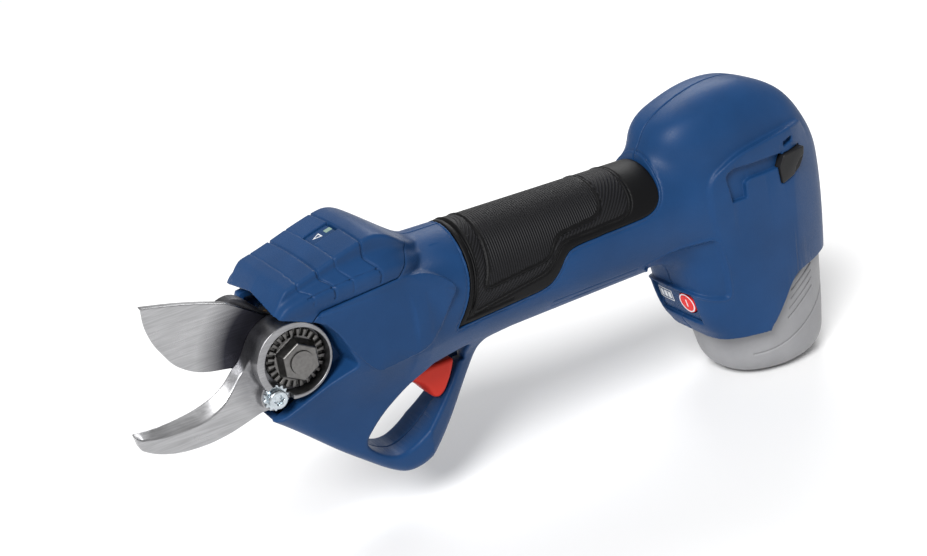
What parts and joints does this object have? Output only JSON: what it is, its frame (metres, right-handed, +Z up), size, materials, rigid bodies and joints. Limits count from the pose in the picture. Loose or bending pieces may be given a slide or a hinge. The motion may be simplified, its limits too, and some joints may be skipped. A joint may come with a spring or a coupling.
{
  "type": "battery electric pruner",
  "caption": "Cordless bypass pruner: a motor-driven blade closes past a fixed hook, with a finger-guarded trigger, a straight rubber-gripped handle and a slide-in battery under the rear.",
  "frame": {"origin": "middle of the bounding box's bottom face, level with the flat underside of the battery", "axes": "+X from the blades to the battery along the handle, +Z up, -Y towards the side that shows the blade pivot's nut"},
  "size_m": [0.2912, 0.0498, 0.1205],
  "materials": {
    "blue_plastic": "fine spark-eroded grain",
    "black_rubber": "moulded soft grip",
    "red_plastic": "satin",
    "red_button": "satin",
    "black_plastic": "fine grain",
    "grey_plastic": "fine grain",
    "clear_window": "tinted lens",
    "blade_steel": "ground along the blade",
    "dark_steel": "oiled, hardened",
    "zinc_steel": "zinc plated",
    "bronze": "sintered",
    "cast_metal": "die cast",
    "circuit_board": "solder mask",
    "cell_wrap": "shrink sleeve"
  },
  "bodies": {
    "housing": {"adjusting_nut": "dark_steel", "blade_screws": "zinc_steel", "button_dome": "black_rubber", "charge_indicator": "clear_window", "control_board": "circuit_board", "control_panel": "blue_plastic", "front_bearing": "zinc_steel", "gear_case": "cast_metal", "grip_rubber": "black_rubber", "head_cover": "blue_plastic", "housing_screws": "dark_steel", "left_housing": "blue_plastic", "lock_screw": "zinc_steel", "lock_washer": "zinc_steel", "lower_blade": "blade_steel", "motor_can": "zinc_steel", "motor_cap": "black_plastic", "output_bushing": "bronze", "panel_board": "circuit_board", "pivot_bolt": "dark_steel", "pivot_bushing": "bronze", "pivot_plate": "zinc_steel", "power_transistors": "black_plastic", "rear_bearing": "zinc_steel", "right_housing": "blue_plastic", "ring_gear": "dark_steel", "stator": "dark_steel", "status_board": "circuit_board", "status_window": "clear_window", "terminal_block": "black_plastic", "thrust_washer": "bronze", "trigger_pin": "zinc_steel", "trigger_spring": "zinc_steel", "trigger_switch": "black_plastic"},
    "blade": {"upper_blade": "blade_steel", "blade_carrier": "dark_steel", "sector_gear": "dark_steel"},
    "output": {"bevel_pinion": "dark_steel", "planet_carrier": "dark_steel"},
    "rotor": {"rotor_shaft": "zinc_steel", "rotor_core": "dark_steel", "sun_gear": "dark_steel"},
    "trigger": {"trigger": "red_plastic"},
    "power_button": {"power_button": "red_button"},
    "left_latch": {"left_latch": "black_plastic"},
    "right_latch": {"right_latch": "black_plastic"},
    "battery": {"battery_case": "grey_plastic", "battery_base": "grey_plastic", "battery_cells": "cell_wrap", "battery_board": "circuit_board"},
    "planet_1": {"planet_gear_1": "dark_steel"},
    "planet_2": {"planet_gear_2": "dark_steel"},
    "planet_3": {"planet_gear_3": "dark_steel"}
  },
  "joints": [
    {"name": "blade_pivot", "type": "hinge", "parent": "housing", "child": "blade", "pos_m": [-0.08675, 0, 0.078], "axis": [0, -1, 0], "range_deg": [0, 44]},
    {"name": "output_turn", "type": "hinge", "parent": "housing", "child": "output", "pos_m": [-0.08675, 0, 0.078], "axis": [1, 0, 0], "range_deg": [-1, 163.46]},
    {"name": "rotor_turn", "type": "hinge", "parent": "housing", "child": "rotor", "pos_m": [-0.08675, 0, 0.078], "axis": [1, 0, 0], "range_deg": [-1, 650.85]},
    {"name": "trigger_pull", "type": "hinge", "parent": "housing", "child": "trigger", "pos_m": [-0.04575, 0, 0.0584], "axis": [0, -1, 0], "range_deg": [0, 12], "stiffness_Nm_per_rad": 0.2, "springref_deg": -8.59, "deforming": ["trigger_spring"]},
    {"name": "power_button_press", "type": "slide", "parent": "housing", "child": "power_button", "axis": [1, 0, 0], "range_m": [0, 0.0008], "stiffness_N_per_m": 800, "springref_m": -0.0006},
    {"name": "left_latch_press", "type": "slide", "parent": "housing", "child": "left_latch", "axis": [0, 1, 0], "range_m": [0, 0.0015], "stiffness_N_per_m": 800, "springref_m": -0.001},
    {"name": "right_latch_press", "type": "slide", "parent": "housing", "child": "right_latch", "axis": [0, -1, 0], "range_m": [0, 0.0015], "stiffness_N_per_m": 800, "springref_m": -0.001},
    {"name": "battery_slide", "type": "slide", "parent": "housing", "child": "battery", "axis": [0, 0, -1], "range_m": [0, 0.07]},
    {"name": "planet_1_turn", "type": "hinge", "parent": "output", "child": "planet_1", "pos_m": [-0.04375, 0.0084, 0.078], "axis": [1, 0, 0], "range_deg": [-488.38, 1]},
    {"name": "planet_2_turn", "type": "hinge", "parent": "output", "child": "planet_2", "pos_m": [-0.04375, -0.0042, 0.08527], "axis": [1, 0, 0], "range_deg": [-488.38, 1]},
    {"name": "planet_3_turn", "type": "hinge", "parent": "output", "child": "planet_3", "pos_m": [-0.04375, -0.0042, 0.07073], "axis": [1, 0, 0], "range_deg": [-488.38, 1]}
  ],
  "couplings": [
    {"joint": "output_turn", "follows": "blade_pivot", "ratio": 3.6923},
    {"joint": "rotor_turn", "follows": "blade_pivot", "ratio": 14.769},
    {"joint": "planet_1_turn", "follows": "blade_pivot", "ratio": -11.077},
    {"joint": "planet_2_turn", "follows": "blade_pivot", "ratio": -11.077},
    {"joint": "planet_3_turn", "follows": "blade_pivot", "ratio": -11.077}
  ]
}
